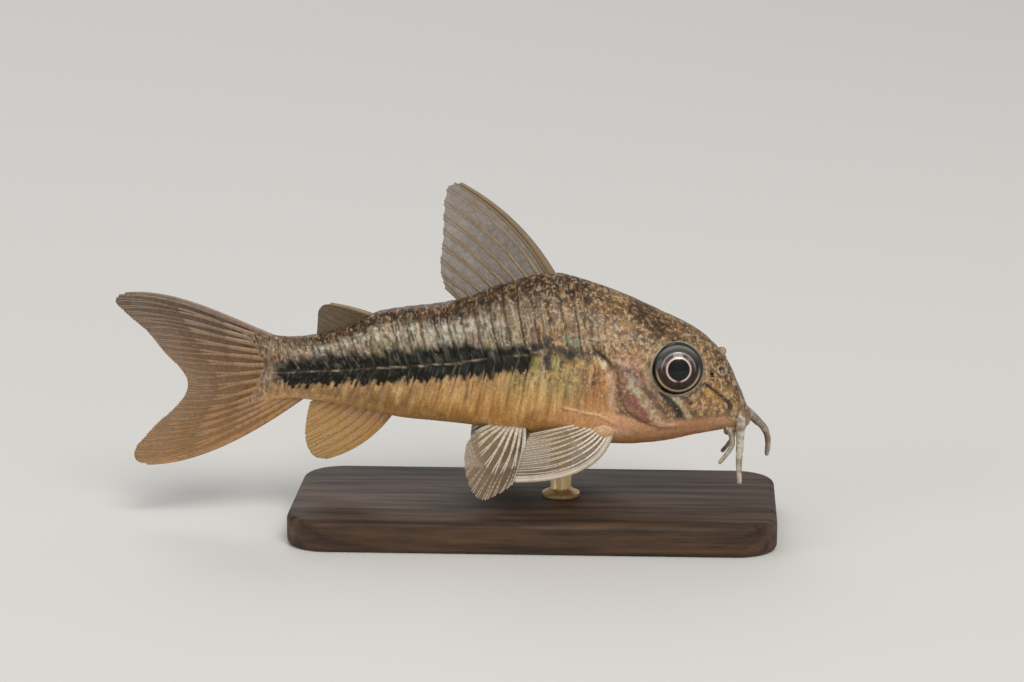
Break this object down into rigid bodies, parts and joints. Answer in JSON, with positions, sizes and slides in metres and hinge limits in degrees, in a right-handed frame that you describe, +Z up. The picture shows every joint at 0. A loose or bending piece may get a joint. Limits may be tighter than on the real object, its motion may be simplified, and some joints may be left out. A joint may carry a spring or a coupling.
{
  "type": "corydoras catfish",
  "caption": "Small armoured catfish with a dark stripe along its plated flank, a tall dorsal fin and barbels, as a still life-size model held over a plain stand.",
  "frame": {"origin": "middle of the underside of the stand's base", "axes": "+X along the fish from its tail to its snout, +Y to the fish's left, +Z up"},
  "size_m": [0.0628, 0.022, 0.0333],
  "materials": {
    "skin": "painted plates, greenish silver above a black stripe and tan below",
    "fin": "thin see-through web between pale rays",
    "barbel": "smooth, pale",
    "eye": "polished, clear",
    "stand_wood": "dark, satin",
    "stand_metal": "satin"
  },
  "bodies": {
    "root": {"head": "skin", "torso": "skin", "tail_stalk": "skin", "eye_right": "eye", "eye_left": "eye", "dorsal_fin": "fin", "adipose_fin": "fin", "caudal_fin": "fin", "anal_fin": "fin", "pectoral_fin_right": "fin", "pectoral_fin_left": "fin", "pelvic_fin_right": "fin", "pelvic_fin_left": "fin", "barbel_upper_right": "barbel", "barbel_upper_left": "barbel", "barbel_lower_right": "barbel", "barbel_lower_left": "barbel", "stand_base": "stand_wood", "stand_rod": "stand_metal"}
  },
  "joints": []
}
